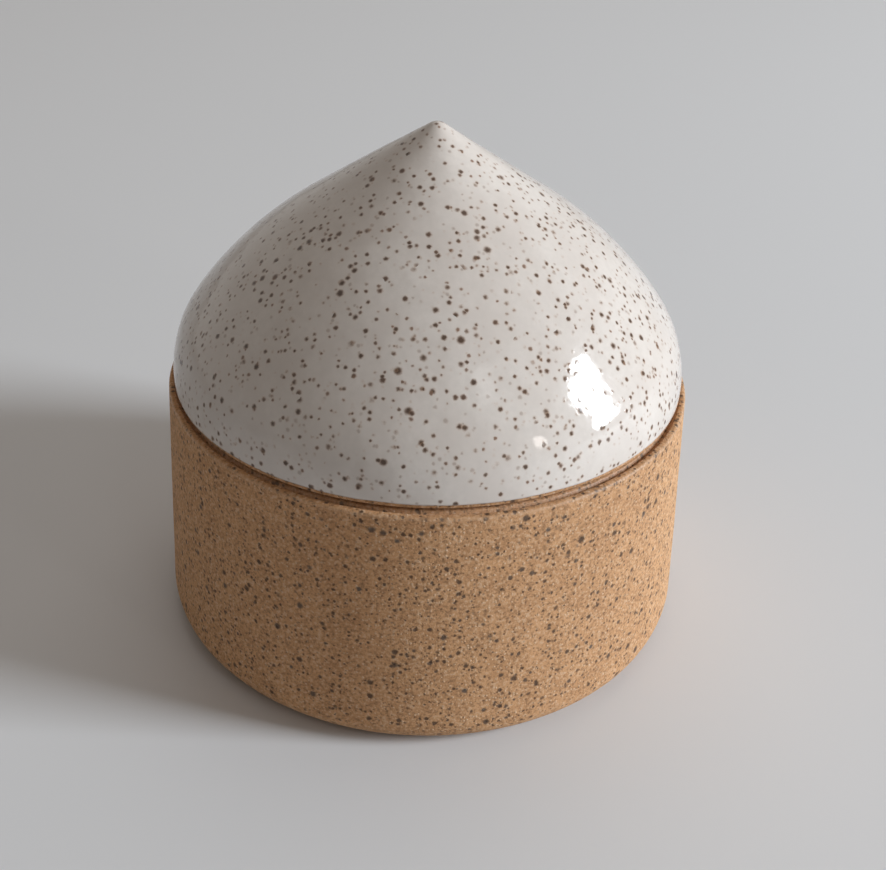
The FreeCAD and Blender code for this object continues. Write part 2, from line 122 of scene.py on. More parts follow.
class HandMarks(PropertyGroup):
    """How far the thrown and glazed walls stray from a perfect turned form."""

    oval: length("Oval", "How far a wall is out of round", 0.00008)
    wave_depth: length("Wave depth", "Soft unevenness of a thrown wall", 0.00012)
    wave_length: length("Wave length", "Distance between soft waves", 0.022)
    ripple_depth: length("Ripple depth", "Small unevenness of a thrown wall", 0.00003)
    ripple_length: length("Ripple length", "Distance between small waves", 0.007)
    even_radius: length("Even radius", "Nearer to the axis than this, walls get more even", 0.02)
    tip_lean: length("Tip lean", "How far the tip stands to one side", 0.0003)
    lean_height: length("Lean height", "How far below the tip that lean begins", 0.009)
    glaze_swell: length("Glaze swell", "Uneven thickness of the melted glaze", 0.00004)
    glaze_swell_length: length("Glaze swell length", "Distance between thick places", 0.006)
    lip_waver: length("Lip waver", "How far the edge of a glaze wanders", 0.00012)
    lip_waver_length: length("Lip waver length", "Distance between the lip's wanderings", 0.006)
    lip_reach: length("Lip reach", "How far up the dome's glaze that is felt", 0.003)
    liner_lip_reach: length("Liner lip reach", "How far along the inner glazes it is felt", 0.004)
    trimming_depth: length("Trimming rings", "Depth of the rings under the foot", 0.00005)
    trimming_pitch: length("Trimming pitch", "Distance between those rings", 0.0026)
    trimming_drift: length("Trimming drift", "Distance over which their depth changes", 0.004)
    trimming_radius: length("Trimmed radius", "Where those rings begin to fade", 0.036)
    trimming_fade: length("Trimming fade", "How far out they fade away", 0.004)
    spiral_depth: length("Throwing spiral", "Depth of the spiral on the floor", 0.00018)
    spiral_pitch: length("Spiral pitch", "Distance between turns of the spiral", 0.006)
    spiral_radius: length("Spiral radius", "Where the spiral begins to fade", 0.028)
    spiral_fade: length("Spiral fade", "How far out it fades away", 0.008)
    spiral_eye: length("Spiral eye", "Distance from the axis over which it starts", 0.004)


class ClayLook(PropertyGroup):
    """Colours of the bare clay."""

    body: colour("Body", "Bare fired clay", (0.66, 0.376, 0.184))
    dark_body: colour("Darker body", "Darker clouds in the clay", (0.55, 0.298, 0.138))
    sand: colour("Sand", "Light grains", (0.74, 0.54, 0.36))
    pit: colour("Pits", "Darker grains and pits", (0.27, 0.15, 0.075))
    speck: colour("Specks", "Iron specks", (0.06, 0.032, 0.019))
    pale_speck: colour("Pale specks", "Greyer specks of iron", (0.09, 0.075, 0.066))
    halo: colour("Halo", "Stain round a speck", (0.25, 0.12, 0.05))
    # The colour with which the clay is made darker towards the table.
    foot_tone: colour("Wiped foot", "Clay wiped smooth near the table", (0.42, 0.235, 0.115))
    grain: length("Grain", "Size of a sand grain", 0.00055)


class GlazeLook(PropertyGroup):
    """Colours of the gloss glaze."""

    body: colour("Body", "Thick glaze", (0.70, 0.652, 0.608))
    thin: colour("Thin", "Thinner glaze", (0.645, 0.590, 0.545))
    cloud: colour("Clouds", "Small clouds in the glaze", (0.61, 0.565, 0.525))
    speck: colour("Specks", "Iron specks", (0.072, 0.038, 0.022))
    pale_speck: colour("Pale specks", "Specks deeper in the glaze", (0.18, 0.10, 0.065))
    halo: colour("Halo", "Stain round a speck", (0.45, 0.25, 0.13))
    edge: colour("Edge", "Thin glaze at its edge", (0.40, 0.36, 0.33))


class StageLook(PropertyGroup):
    """The floor, the lamps and the camera."""

    floor: colour("Floor", "Plain pale floor", (0.73, 0.75, 0.775))
    low_sky: colour("Low sky", "Soft light from near the horizon", (0.06, 0.047, 0.037))
    high_sky: colour("High sky", "Soft light from overhead", (0.25, 0.219, 0.191))
    backdrop: colour("Backdrop", "Colour seen beyond the floor", (0.55, 0.54, 0.525))
    key: FloatProperty(name="Key", description="Power of the window light", default=47.0,
                       min=0.0, unit="POWER")
    lens: FloatProperty(name="Lens", description="Focal length", default=48.76, min=1.0,
                        unit="CAMERA")


class SaltBox(PropertyGroup):
    """Everything that a user may change."""

    sizes: PointerProperty(type=SaltBoxSizes)
    marks: PointerProperty(type=HandMarks)
    clay: PointerProperty(type=ClayLook)
    glaze: PointerProperty(type=GlazeLook)
    stage: PointerProperty(type=StageLook)


def settings():
    """The sizes and colours that the panel shows."""
    return bpy.context.scene.salt_box


# Outlines: half cross-sections as points (distance from the axis, height)

SPARE_STEP = 0.01    # a line isn't cut once more for so small a share of a step
FEWEST_ARC_CUTS = 5  # in any rounding


def turn_to(across, up, radius):
    """How far an arc turns from upright before it points at a spot, seen from its centre."""
    return math.atan2(up, across) - math.acos(radius / math.hypot(across, up))


def headings(spots, i, sharp_end):
    """The directions into and out of a corner. An end on the axis is mirrored in it."""
    before = spots[i - 1] if i else Vector((-spots[1].x, spots[1].y))
    after = spots[i + 1] if i + 1 < len(spots) else Vector((-spots[-2].x, spots[-2].y))
    if sharp_end and i == 0:
        before = 2 * spots[0] - after
    if sharp_end and i + 1 == len(spots):
        after = 2 * spots[-1] - before
    return (spots[i] - before).normalized(), (after - spots[i]).normalized()


def rounded(corners, step):
    """Points along straight lines through the corners, with each corner rounded.

    A corner is (distance from the axis, height, rounding). A rounding of None uses up the line
    before it. A rounded first or last corner lies on the axis and is half an arc.
    """
    spots = [Vector(corner[:2]) for corner in corners]
    points = []

    def line_to(end):
        start = points[-1].copy()
        count = math.ceil((end - start).length / step - SPARE_STEP)
        points.extend(start.lerp(end, i / count) for i in range(1, count + 1))

    for i, (spot, (_, _, rounding)) in enumerate(zip(spots, corners)):
        if rounding == 0:
            if points:
                line_to(spot)
            else:
                points.append(spot)
            continue
        into, out = headings(spots, i, False)
        turn = math.atan2(into.x * out.y - into.y * out.x, into.dot(out))
        if rounding is None:
            rounding = (points[-1] - spot).length / math.tan(abs(turn) / 2)
        start = spot - into * (rounding * math.tan(abs(turn) / 2))
        side = Vector((-into.y, into.x)) * math.copysign(rounding, turn)
        first = 0.5 if i == 0 else 0.0
        last = 0.5 if i + 1 == len(spots) else 1.0
        if points:
            line_to(start)
        else:
            points.append(start + side - Matrix.Rotation(turn * first, 2) @ side)
        cuts = math.ceil(abs(turn) * rounding * (last - first) / step)
        count = max(FEWEST_ARC_CUTS, cuts)
        for k in range(1, count + 1):
            angle = turn * (first + (last - first) * k / count)
            points.append(start + side - Matrix.Rotation(angle, 2) @ side)
    return points


def moved_square(corners, distance):
    """The same corners moved square to their lines, to the left of the way they run."""
    spots = [Vector(corner[:2]) for corner in corners]
    moved = []
    for i, (x, z, rounding) in enumerate(corners):
        into, out = headings(spots, i, rounding == 0)
        shift = Vector((-into.y - out.y, into.x + out.x)) * (distance / (1 + into.dot(out)))
        if rounding:
            rounding -= math.copysign(distance, into.x * out.y - into.y * out.x)
        moved.append((x + shift.x, z + shift.y, rounding))
    return moved


def coat_outline(s, clay, distance):
    """A coat from the axis along the clay, round its lip and back to the axis."""
    face = moved_square(clay, distance)
    lip = (*face[-1][:2], s.glaze)
    hidden = rounded(clay, s.hidden_step)
    return hidden, rounded([clay[-1], lip] + face[-2::-1], s.seen_step)[1:]


def pot_inside(s):
    """The corners of the pot's inner clay, from the middle of its floor to the glaze's edge."""
    at_table = s.foot_radius - s.wall_at_foot
    at_seat = s.rim_radius - s.wall_at_rim

    def wall(level):
        return at_table + (at_seat - at_table) * level / SEAT

    return [(0, FLOOR_TOP, 0), (wall(FLOOR_TOP), FLOOR_TOP, s.floor_round),
            (wall(POT_LINER_EDGE), POT_LINER_EDGE, 0)]


def pot_outline(s):
    """The raw clay pot, from the middle of its underside round to the middle of its floor."""
    ring_inside = s.foot_radius - s.foot_round - s.foot_ring
    dip = SEAT - s.dip_depth
    dip_out = LID_RADIUS + s.dip_outside
    dip_in = LID_RADIUS - s.dip_inside
    dip_round = s.dip_depth / 4
    inside = pot_inside(s)[::-1]
    under = [
        (0, s.foot_recess, 0),
        (ring_inside - s.foot_recess, s.foot_recess, s.trimmed_edge),
        (ring_inside, 0, s.trimmed_edge),
        (s.foot_radius, 0, s.foot_round),
        (s.rim_radius, SEAT, s.rim_round),
        (dip_out, SEAT, dip_round),
        (dip_out - s.dip_depth, dip, dip_round),
        (dip_in + s.dip_depth / 2, dip, 0),
        (dip_in, SEAT, 0),
        (s.rim_radius - s.wall_at_rim, SEAT, s.mouth_round),
        inside[0],
    ]
    return rounded(under, s.seen_step), rounded(inside, s.hidden_step)[1:]


def pot_liner_outline(s):
    """The glaze inside the pot, from its underside out to the lip and back over its face."""
    return coat_outline(s, pot_inside(s), s.glaze)


def lid_corners(s):
    """The corners of the glazed lid, from the seat up to its tip."""
    skirt = GLAZE_EDGE + s.glaze + s.straight_skirt
    break_level = SEAT + s.break_height
    turn = turn_to(s.shoulder_round - s.break_inset, break_level - skirt, s.shoulder_round)
    reach = LID_RADIUS - s.break_inset
    rise = TIP_TOP - s.tip_round - break_level
    slope = math.atan2(rise, reach) + math.asin(s.tip_round / math.hypot(reach, rise))
    return [
        (LID_RADIUS, SEAT, 0),
        (LID_RADIUS, skirt + s.shoulder_round * math.tan(turn / 2), s.shoulder_round),
        (reach, break_level, None),
        (0, break_level + reach * math.tan(slope), s.tip_round),
    ]


def lid_inside(s):
    """The corners of the clay inside the lid, from its apex down to the edge of the glaze."""
    (x, z, _), (_, apex, _) = lid_corners(s)[2:]
    flank = (Vector((0, apex)) - Vector((x, z))).normalized()
    inner_apex = apex + (s.lid_wall + s.glaze) / flank.x
    corner = inner_apex + FLANGE_BORE * flank.y / flank.x
    return [(0, inner_apex, s.apex_round), (FLANGE_BORE, corner, s.lid_inner_round),
            (FLANGE_BORE, LID_LINER_EDGE, 0)]


def lid_shell_outline(s):
    """The clay of the lid, from the apex inside, round the flange and seat, to the tip."""
    clay = moved_square(lid_corners(s), s.glaze)
    skirt = clay[0][0]
    flange = FLANGE_BORE + s.flange_wall
    bare = [
        (FLANGE_BORE, LID_LINER_EDGE, 0),
        (FLANGE_BORE, FLANGE_END, s.flange_round),
        (flange, FLANGE_END, s.flange_round),
        (flange, SEAT, 0),
        (skirt - s.undercut_depth, SEAT, 0),
        (skirt, SEAT + s.undercut_height, s.lid_edge_round),
        (skirt, GLAZE_EDGE + s.glaze, 0),
    ]
    inside = rounded(lid_inside(s), s.hidden_step)
    dome = rounded([bare[-1]] + clay[1:], s.hidden_step)
    return inside, rounded(bare, s.seen_step)[1:], dome[1:]


def lid_glaze_outline(s):
    """The coat over the dome, from the tip down the clay, round the lip and up its face."""
    corners = lid_corners(s)
    clay = moved_square(corners, s.glaze)
    clay[0] = (clay[0][0], GLAZE_EDGE, 0)
    hidden = rounded(clay, s.hidden_step)[::-1]
    face = rounded([clay[0], (LID_RADIUS, GLAZE_EDGE, s.glaze)] + corners[1:], s.seen_step)
    return hidden, face[1:]


def lid_liner_outline(s):
    """The coat inside the dome, from its apex down the clay, round the lip and back."""
    return coat_outline(s, lid_inside(s), -s.glaze)


# Hand marks: where each point of a turned mesh really lies

ON_AXIS = 1e-6         # points nearer to the axis than this, in metres, lie on it
FINER_WANDER = 2.7     # how many finer wanderings a lip has in the length of a coarse one
FINER_STRENGTH = 0.4   # how strong they are beside the coarse ones
TRIMMING_SINK = 1.4    # how many depths the trimming rings lie below the plain recess

# Seeds that set where the noise falls on each wall, on each lip and on each face of glaze.
POT_SEED, LID_SEED = 2.3, 5.1
POT_LINER_LIP_SEED, DOME_LIP_SEED, LID_LINER_LIP_SEED = 5.0, 1.0, 9.0
POT_LINER_FACE_SEED, DOME_FACE_SEED, LID_LINER_FACE_SEED = 3.0, 7.0, 4.0

# The number of an outline: the pot's bare outside comes first, and a coat's face comes second.
BARE_OUTSIDE, FACE = 0, 1


def fade(distance, reach):
    """1 up to an edge, falling softly to 0 over a reach beyond it."""
    share = min(1.0, max(0.0, 1 - distance / reach))
    return share * share * (3 - 2 * share)


def ridges(distance, pitch, depth):
    """Even ridges that a tool or a finger leaves at a distance from the axis."""
    return depth * math.cos(math.tau * distance / pitch)


def thrown(place, marks, seed):
    """Where a hand-thrown wall lies: a little oval, with soft waves and small ripples."""
    spoke = Vector((place.x, place.y, 0))
    reach = spoke.length
    if reach < ON_AXIS:
        return place
    spoke /= reach
    around = math.atan2(place.y, place.x)
    out = marks.oval * math.cos(2 * around + seed)
    out += marks.wave_depth * noise.noise(place / marks.wave_length + Vector((seed, 0, 0)))
    out += marks.ripple_depth * noise.noise(place / marks.ripple_length + Vector((0, seed, 0)))
    return place + spoke * out * min(1.0, reach / marks.even_radius)


def lip_pull(place, marks, edge, reach, seed):
    """How far the lip of a glaze is pulled up or down at a place."""
    at_edge = Vector((place.x, place.y, edge)) / marks.lip_waver_length
    pull = noise.noise(at_edge + Vector((seed, seed, 0)))
    pull += FINER_STRENGTH * noise.noise(FINER_WANDER * at_edge - Vector((seed, 0, 0)))
    return marks.lip_waver * pull * fade(abs(place.z - edge), reach)


def swell(place, normal, marks, seed):
    """How far the face of a glaze stands out or in at a place."""
    thick = noise.noise(place / marks.glaze_swell_length + Vector((0, seed, seed)))
    return normal * marks.glaze_swell * thick


def lean(place, marks):
    """How far the top of the lid leans out at a level."""
    share = max(0.0, 1 - (TIP_TOP - place.z) / marks.lean_height)
    return Vector((marks.tip_lean * share * share, 0, 0))


def shape_pot(place, outline, normal, marks):
    """The raw pot, with trimming rings inside its foot."""
    moved = thrown(place, marks, POT_SEED)
    spoke = math.hypot(place.x, place.y)
    trimmed = fade(spoke - marks.trimming_radius, marks.trimming_fade)
    if outline == BARE_OUTSIDE and trimmed > 0:
        drift = noise.noise(Vector((spoke / marks.trimming_drift, 0, POT_SEED)))
        rings = ridges(spoke, marks.trimming_pitch, marks.trimming_depth)
        rings += marks.trimming_depth * drift
        moved.z += trimmed * (rings - TRIMMING_SINK * marks.trimming_depth)
    return moved


def shape_pot_liner(place, outline, normal, marks):
    """The pot's glaze follows the clay, with a throwing spiral on the floor."""
    moved = thrown(place, marks, POT_SEED)
    moved.z += lip_pull(place, marks, POT_LINER_EDGE, marks.liner_lip_reach, POT_LINER_LIP_SEED)
    if outline == FACE:
        spoke = math.hypot(place.x, place.y)
        around = math.atan2(place.y, place.x) / math.tau
        share = fade(spoke - marks.spiral_radius, marks.spiral_fade)
        share *= min(1.0, spoke / marks.spiral_eye)
        moved.z += share * ridges(spoke - marks.spiral_pitch * around, marks.spiral_pitch,
                                  marks.spiral_depth)
        moved += swell(place, normal, marks, POT_LINER_FACE_SEED)
    return moved


def shape_lid(place, outline, normal, marks):
    """The lid's clay, with a tip that leans a little."""
    return thrown(place, marks, LID_SEED) + lean(place, marks)


def shape_lid_glaze(place, outline, normal, marks):
    """The lid's glaze follows the clay, swells a little and ends in a wavering lip."""
    moved = shape_lid(place, outline, normal, marks)
    moved.z += lip_pull(place, marks, GLAZE_EDGE, marks.lip_reach, DOME_LIP_SEED)
    if outline == FACE:
        above_lip = 1 - fade(place.z - GLAZE_EDGE, marks.lip_reach)
        moved += swell(place, normal, marks, DOME_FACE_SEED) * above_lip
    return moved


def shape_lid_liner(place, outline, normal, marks):
    """The glaze inside the lid follows the clay and ends in a wavering lip."""
    moved = thrown(place, marks, LID_SEED)
    moved.z += lip_pull(place, marks, LID_LINER_EDGE, marks.liner_lip_reach, LID_LINER_LIP_SEED)
    if outline == FACE:
        moved += swell(place, normal, marks, LID_LINER_FACE_SEED)
    return moved


def turned_piece(name, outlines, shape):
    """Turn the outlines about the upright axis and let shape move each point of the mesh.

    shape gets a point, the number of the outline that it came from, its outward normal and the
    hand marks.
    """
    given = settings()
    sides = given.sizes.sides
    bm = bmesh.new()
    rings, origins = [], []
    for outline, points in enumerate(outlines):
        for point in points:
            ring = []
            for side in range(1 if point.x < ON_AXIS else sides):
                angle = math.tau * side / sides
                ring.append(bm.verts.new((point.x * math.cos(angle), point.x * math.sin(angle),
                                          point.y)))
                origins.append(outline)
            rings.append(ring)
    for low, high in zip(rings, rings[1:]):
        for side in range(sides):
            after = (side + 1) % sides
            corners = [low[side % len(low)], low[after % len(low)],
                       high[after % len(high)], high[side % len(high)]]
            # A ring on the axis is a single point, which a face may use only once.
            face = bm.faces.new(dict.fromkeys(corners))
            face.smooth = True
    bmesh.ops.recalc_face_normals(bm, faces=bm.faces)
    bm.normal_update()
    moved = [shape(vert.co.copy(), outline, vert.normal.copy(), given.marks)
             for vert, outline in zip(bm.verts, origins)]
    for vert, place in zip(bm.verts, moved):
        vert.co = place
    bm.normal_update()
    mesh = bpy.data.meshes.new(name)
    bm.to_mesh(mesh)
    bm.free()
    piece = bpy.data.objects.new(name, mesh)
    bpy.context.scene.collection.objects.link(piece)
    return piece


# Materials

# Noise of a size in metres, with its detail and roughness.
Noise = namedtuple("Noise", "size detail roughness")
FINE_SAND = Noise(0.00062, 2.5, 0.62)
CLAY_MOTTLE = Noise(0.0035, 4.0, 0.65)
GLAZE_MOTTLE = Noise(0.012, 3.0, 0.6)
GLAZE_CLOUDS = Noise(0.0012, 3.0, 0.6)
GLAZE_DIMPLES = Noise(0.0013, 1.0, 0.5)
GLAZE_WAVES = Noise(0.0045, 2.0, 0.5)
BAND_WANDER = Noise(0.004, 2.0, 0.5)
SPECK_OUTLINE = Noise(0.0005, 1.0, 0.5)

# A layer of specks: one in a share of the cells of space, with its smallest and largest radius,
# how strongly it covers, how pale the palest of its specks are and how far they rise.
Layer = namedtuple("Layer", "cell share smallest largest cover pale rise")

# Layers of specks with what they share: the shift from one layer to the next, how far their
# outlines are pushed about, their soft share, the width and strength of the stain round them,
# and the size of the crowds that they come in.
Specks = namedtuple("Specks", "layers shift push softness halo stain crowd")
CLAY_SPECKS = Specks(
    layers=(
        Layer(0.0021, 0.20, 0.00055, 0.00095, 0.86, 1.0, -0.3),
        Layer(0.0013, 0.40, 0.00038, 0.00066, 0.84, 0.5, -0.3),
        Layer(0.00095, 0.31, 0.00026, 0.00045, 0.80, 0.0, -0.3),
        Layer(0.00080, 0.32, 0.00020, 0.00032, 0.45, 0.0, -0.3),
    ),
    shift=(0.013, 0.007, 0.003), push=0.0004, softness=0.6, halo=0.00012, stain=0.3,
    crowd=0.005)
GLAZE_SPECKS = Specks(
    layers=(
        Layer(0.0020, 0.18, 0.00060, 0.00088, 0.97, 0.0, 0.1164),
        Layer(0.00165, 0.52, 0.00044, 0.00068, 0.95, 0.3, 0.114),
        Layer(0.00150, 0.50, 0.00030, 0.00050, 0.85, 1.0, 0.102),
        Layer(0.0015, 0.60, 0.00028, 0.00052, 0.30, 1.0, 0.036),
    ),
    shift=(0.017, 0.005, 0.011), push=0.0003, softness=0.65, halo=0.00015, stain=0.55,
    crowd=0.004)
PALE_TONES = (0.4, 1.0)       # chances from which a speck begins to pale and is palest
CROWD_NOISE = (0.32, 0.68)    # noise in the emptiest and in the fullest crowds
CROWD_SHARE = (0.3, 1.7)      # what the share of cells with a speck is multiplied by in them
SMALL_SPECKS = 2.0            # the higher, the more specks are near the smallest radius

# Sand in the clay: the distances in a cell between which its grain fades out, and the chances
# between which a grain turns light, or dark. Light grains stand out of the surface and dark
# ones are pits.
GRAIN_RIM = (0.25, 0.5)
LIGHT_GRAIN = (0.8, 0.9)
DARK_GRAIN = (0.85, 0.95)
GRAIN_RISE, PIT_RISE = 0.6, -0.8
GRAIN_COVER, PIT_COVER = 0.8, 0.7
MIDDLE_SAND = 0.5             # fine noise above it lightens the clay and below it darkens it
SAND_SPREAD = 0.18            # how far above or below it the noise does so fully
SAND_COVER = 0.65
CLAY_MOTTLE_NOISE = (0.3, 0.7)

GLAZE_MOTTLE_NOISE = (0.35, 0.65)
GLAZE_CLOUD_NOISE = (0.3, 0.7)
CLOUD_COVER = 0.4
DIMPLE_RISE = 0.12

# A band of heights from low to high over a level, with a softness and a wander, in metres.
Band = namedtuple("Band", "low high soft wander")
# Clay made darker towards the table, at the foot.
DARKER_FOOT_BAND = Band(-0.01, 0.0022, 0.003, 0.002)
# At the rim's outer edge: a burnished band of lower roughness, whose lightened colour is a
# painted highlight along that edge.
RIM_BURNISH_AND_PAINTED_HIGHLIGHT = Band(-0.0005, -0.0002, 0.0002, 0.0002)
THIN_LIP = Band(-0.001, 0.0001, 0.0004, 0.0003)
# Strengths: the darker colour at the foot, the painted highlight on the rim's edge, and the thin
# glaze at its lip.
DARKER_FOOT_COVER, PAINTED_RIM_HIGHLIGHT_COVER, THIN_COVER = 0.45, 0.15, 0.4
CLAY_ROUGHNESS, WORN_ROUGHNESS = 0.85, 0.5


class Wiring:
    """Adds nodes to a tree and joins them up."""

    def __init__(self, tree):
        self.tree = tree

    def node(self, kind, inputs=None, **options):
        """A node with its options, and with values or links on its inputs."""
        made = self.tree.nodes.new(kind)
        for name, value in options.items():
            setattr(made, name, value)
        for key, value in (inputs or {}).items():
            self.give(made.inputs[key], value)
        return made

    def give(self, socket, value):
        """Link an output to an input, or set the input to a value."""
        if isinstance(value, NodeSocket):
            self.tree.links.new(value, socket)
        else:
            socket.default_value = value

    def math(self, operation, *values):
        """One step of arithmetic."""
        inputs = dict(enumerate(values))
        return self.node("ShaderNodeMath", inputs, operation=operation).outputs[0]

    def vector(self, operation, first, second):
        """One step of arithmetic on each part of two vectors."""
        inputs = {0: first, 1: second}
        return self.node("ShaderNodeVectorMath", inputs, operation=operation).outputs[0]

    def ramp(self, value, low, high, to=(0.0, 1.0), smooth=True):
        """A value taken from one range to another, held at the ends."""
        inputs = {"Value": value, "From Min": low, "From Max": high,
                  "To Min": to[0], "To Max": to[1]}
        kind = "SMOOTHSTEP" if smooth else "LINEAR"
        return self.node("ShaderNodeMapRange", inputs, interpolation_type=kind).outputs[0]

    def mix(self, share, first, second):
        """A mix of two colours, which are outputs or (red, green, blue)."""
        first, second = (value if isinstance(value, NodeSocket) else (*value, 1)
                         for value in (first, second))
        inputs = {0: share, 6: first, 7: second}
        return self.node("ShaderNodeMix", inputs, data_type="RGBA").outputs[2]

    def grain(self, place, noise_look, output="Fac"):
        """Noise with grains of a size."""
        inputs = {"Vector": place, "Scale": 1 / noise_look.size, "Detail": noise_look.detail,
                  "Roughness": noise_look.roughness}
        return self.node("ShaderNodeTexNoise", inputs).outputs[output]

    def object_place(self):
        """Where a point lies on its own object, in metres."""
        return self.node("ShaderNodeTexCoord").outputs["Object"]

    def group(self, group, inputs):
        """The outputs of a node group that is placed with its own values."""
        return self.node("ShaderNodeGroup", inputs, node_tree=group).outputs


def node_group(name, inputs, outputs, wire):
    """A shared node group, wired up the first time that it is asked for.

    inputs has the default of each number, or None for a vector. wire gets the wiring and the
    group's inputs, and returns a value for each output.
    """
    if name in bpy.data.node_groups:
        return bpy.data.node_groups[name]
    group = bpy.data.node_groups.new(name, "ShaderNodeTree")
    for socket, default in inputs.items():
        kind = "NodeSocketVector" if default is None else "NodeSocketFloat"
        made = group.interface.new_socket(socket, in_out="INPUT", socket_type=kind)
        if default is not None:
            made.default_value = default
    for socket in outputs:
        group.interface.new_socket(socket, in_out="OUTPUT", socket_type="NodeSocketFloat")
    given = group.nodes.new("NodeGroupInput").outputs
    ends = group.nodes.new("NodeGroupOutput").inputs
    for socket, value in wire(Wiring(group), given).items():
        group.links.new(value, ends[socket])
    return group


def iron_specks():
    """Specks of iron that burn out of the clay: one speck in a share of the cells of a space."""
    def wire(w, given):
        scale = w.math("DIVIDE", 1.0, given["Cell"])
        cells = w.node("ShaderNodeTexVoronoi", {"Vector": given["Place"], "Scale": scale},
                       feature="F1").outputs
        chance = w.node("ShaderNodeSeparateColor", {"Color": cells["Color"]}).outputs
        crowd = w.node("ShaderNodeTexNoise", {
            "Vector": cells["Position"], "Detail": 1.0,
            "Scale": w.math("DIVIDE", 1.0, given["Crowd"])}).outputs["Fac"]
        crowded = w.ramp(crowd, *CROWD_NOISE, to=CROWD_SHARE, smooth=False)
        share = w.math("MULTIPLY", given["Share"], crowded)
        kept = w.math("LESS_THAN", chance["Red"], share)
        skew = w.math("POWER", chance["Green"], SMALL_SPECKS)
        radius = w.ramp(skew, 0.0, 1.0, to=(given["Smallest"], given["Largest"]), smooth=False)
        inner = w.math("MULTIPLY", radius, w.math("SUBTRACT", 1.0, given["Softness"]))
        reach = w.math("MULTIPLY", cells["Distance"], given["Cell"])
        speck = w.ramp(reach, inner, radius, to=(1.0, 0.0))
        halo = w.ramp(reach, inner, w.math("ADD", radius, given["Halo"]), to=(1.0, 0.0))
        return {"Speck": w.math("MULTIPLY", speck, kept), "Halo": w.math("MULTIPLY", halo, kept),
                "Tone": chance["Blue"]}

    return node_group("Iron Specks", {
        "Place": None, "Cell": 0.002, "Share": 0.5, "Smallest": 0.0001, "Largest": 0.0005,
        "Softness": 0.5, "Halo": 0.0003, "Crowd": 0.006}, ("Speck", "Halo", "Tone"), wire)


def sandy_clay():
    """The grains that stand out of bare fired clay, and the pits between them."""
    def wire(w, given):
        scale = w.math("DIVIDE", 1.0, given["Grain"])
        cells = w.node("ShaderNodeTexVoronoi", {"Vector": given["Place"],
                                                "Scale": scale}).outputs
        chance = w.node("ShaderNodeSeparateColor", {"Color": cells["Color"]}).outputs
        body = w.ramp(cells["Distance"], *GRAIN_RIM, to=(1.0, 0.0))
        grains = w.math("MULTIPLY", body, w.ramp(chance["Red"], *LIGHT_GRAIN))
        pits = w.math("MULTIPLY", body, w.ramp(chance["Green"], *DARK_GRAIN))
        fine = w.grain(given["Place"], FINE_SAND)
        pitted = w.math("MULTIPLY_ADD", pits, PIT_RISE, fine)
        return {"Grains": grains, "Pits": pits, "Fine": fine,
                "Height": w.math("MULTIPLY_ADD", grains, GRAIN_RISE, pitted),
                "Mottle": w.grain(given["Place"], CLAY_MOTTLE)}

    return node_group("Sandy Clay", {"Place": None, "Grain": 0.0004},
                      ("Grains", "Pits", "Fine", "Height", "Mottle"), wire)


def level_band():
    """1 inside a band of heights, with soft and wandering edges."""
    def wire(w, given):
        level = w.node("ShaderNodeSeparateXYZ", {"Vector": given["Place"]}).outputs["Z"]
        waver = w.math("SUBTRACT", w.grain(given["Place"], BAND_WANDER), 0.5)
        level = w.math("MULTIPLY_ADD", waver, given["Wander"], level)
        over = w.ramp(level, w.math("SUBTRACT", given["Low"], given["Soft"]), given["Low"])
        under = w.ramp(level, given["High"], w.math("ADD", given["High"], given["Soft"]),
                       to=(1.0, 0.0))
        return {"Band": w.math("MULTIPLY", over, under)}

    return node_group("Level Band", {"Place": None, "Low": 0.0, "High": 0.001, "Soft": 0.0002,
                                     "Wander": 0.0002}, ("Band",), wire)


def in_band(w, place, level, band):
    """1 where a place lies in a band of heights over a level."""
    return w.group(level_band(), {
        "Place": place, "Low": level + band.low, "High": level + band.high,
        "Soft": band.soft, "Wander": band.wander})["Band"]


def speckled(w, place, colour, height, look, specks):
    """The colour and height of a surface with layers of iron specks added."""
    jitter = w.grain(place, SPECK_OUTLINE, "Color")
    centred = w.vector("SUBTRACT", jitter, (0.5, 0.5, 0.5))
    uneven = w.vector("ADD", place, w.vector("MULTIPLY", centred, [specks.push] * 3))
    along, *aside = specks.shift
    for i, layer in enumerate(specks.layers, start=1):
        found = w.group(iron_specks(), {
            "Place": w.vector("ADD", uneven, (along * i, *aside)),
            "Cell": layer.cell, "Share": layer.share,
            "Smallest": layer.smallest, "Largest": layer.largest,
            "Softness": specks.softness, "Halo": specks.halo, "Crowd": specks.crowd})
        stain = w.math("MULTIPLY", found["Halo"], specks.stain * layer.cover)
        colour = w.mix(stain, colour, look.halo)
        paleness = w.ramp(found["Tone"], *PALE_TONES, to=(0.0, layer.pale))
        tint = w.mix(paleness, look.speck, look.pale_speck)
        colour = w.mix(w.math("MULTIPLY", found["Speck"], layer.cover), colour, tint)
        height = w.math("MULTIPLY_ADD", found["Speck"], layer.rise, height)
    return colour, height


def new_material(name):
    """A node material, its wiring and its Principled shader."""
    material = bpy.data.materials.new(name)
    material.use_nodes = True
    w = Wiring(material.node_tree)
    return material, w, material.node_tree.nodes["Principled BSDF"]


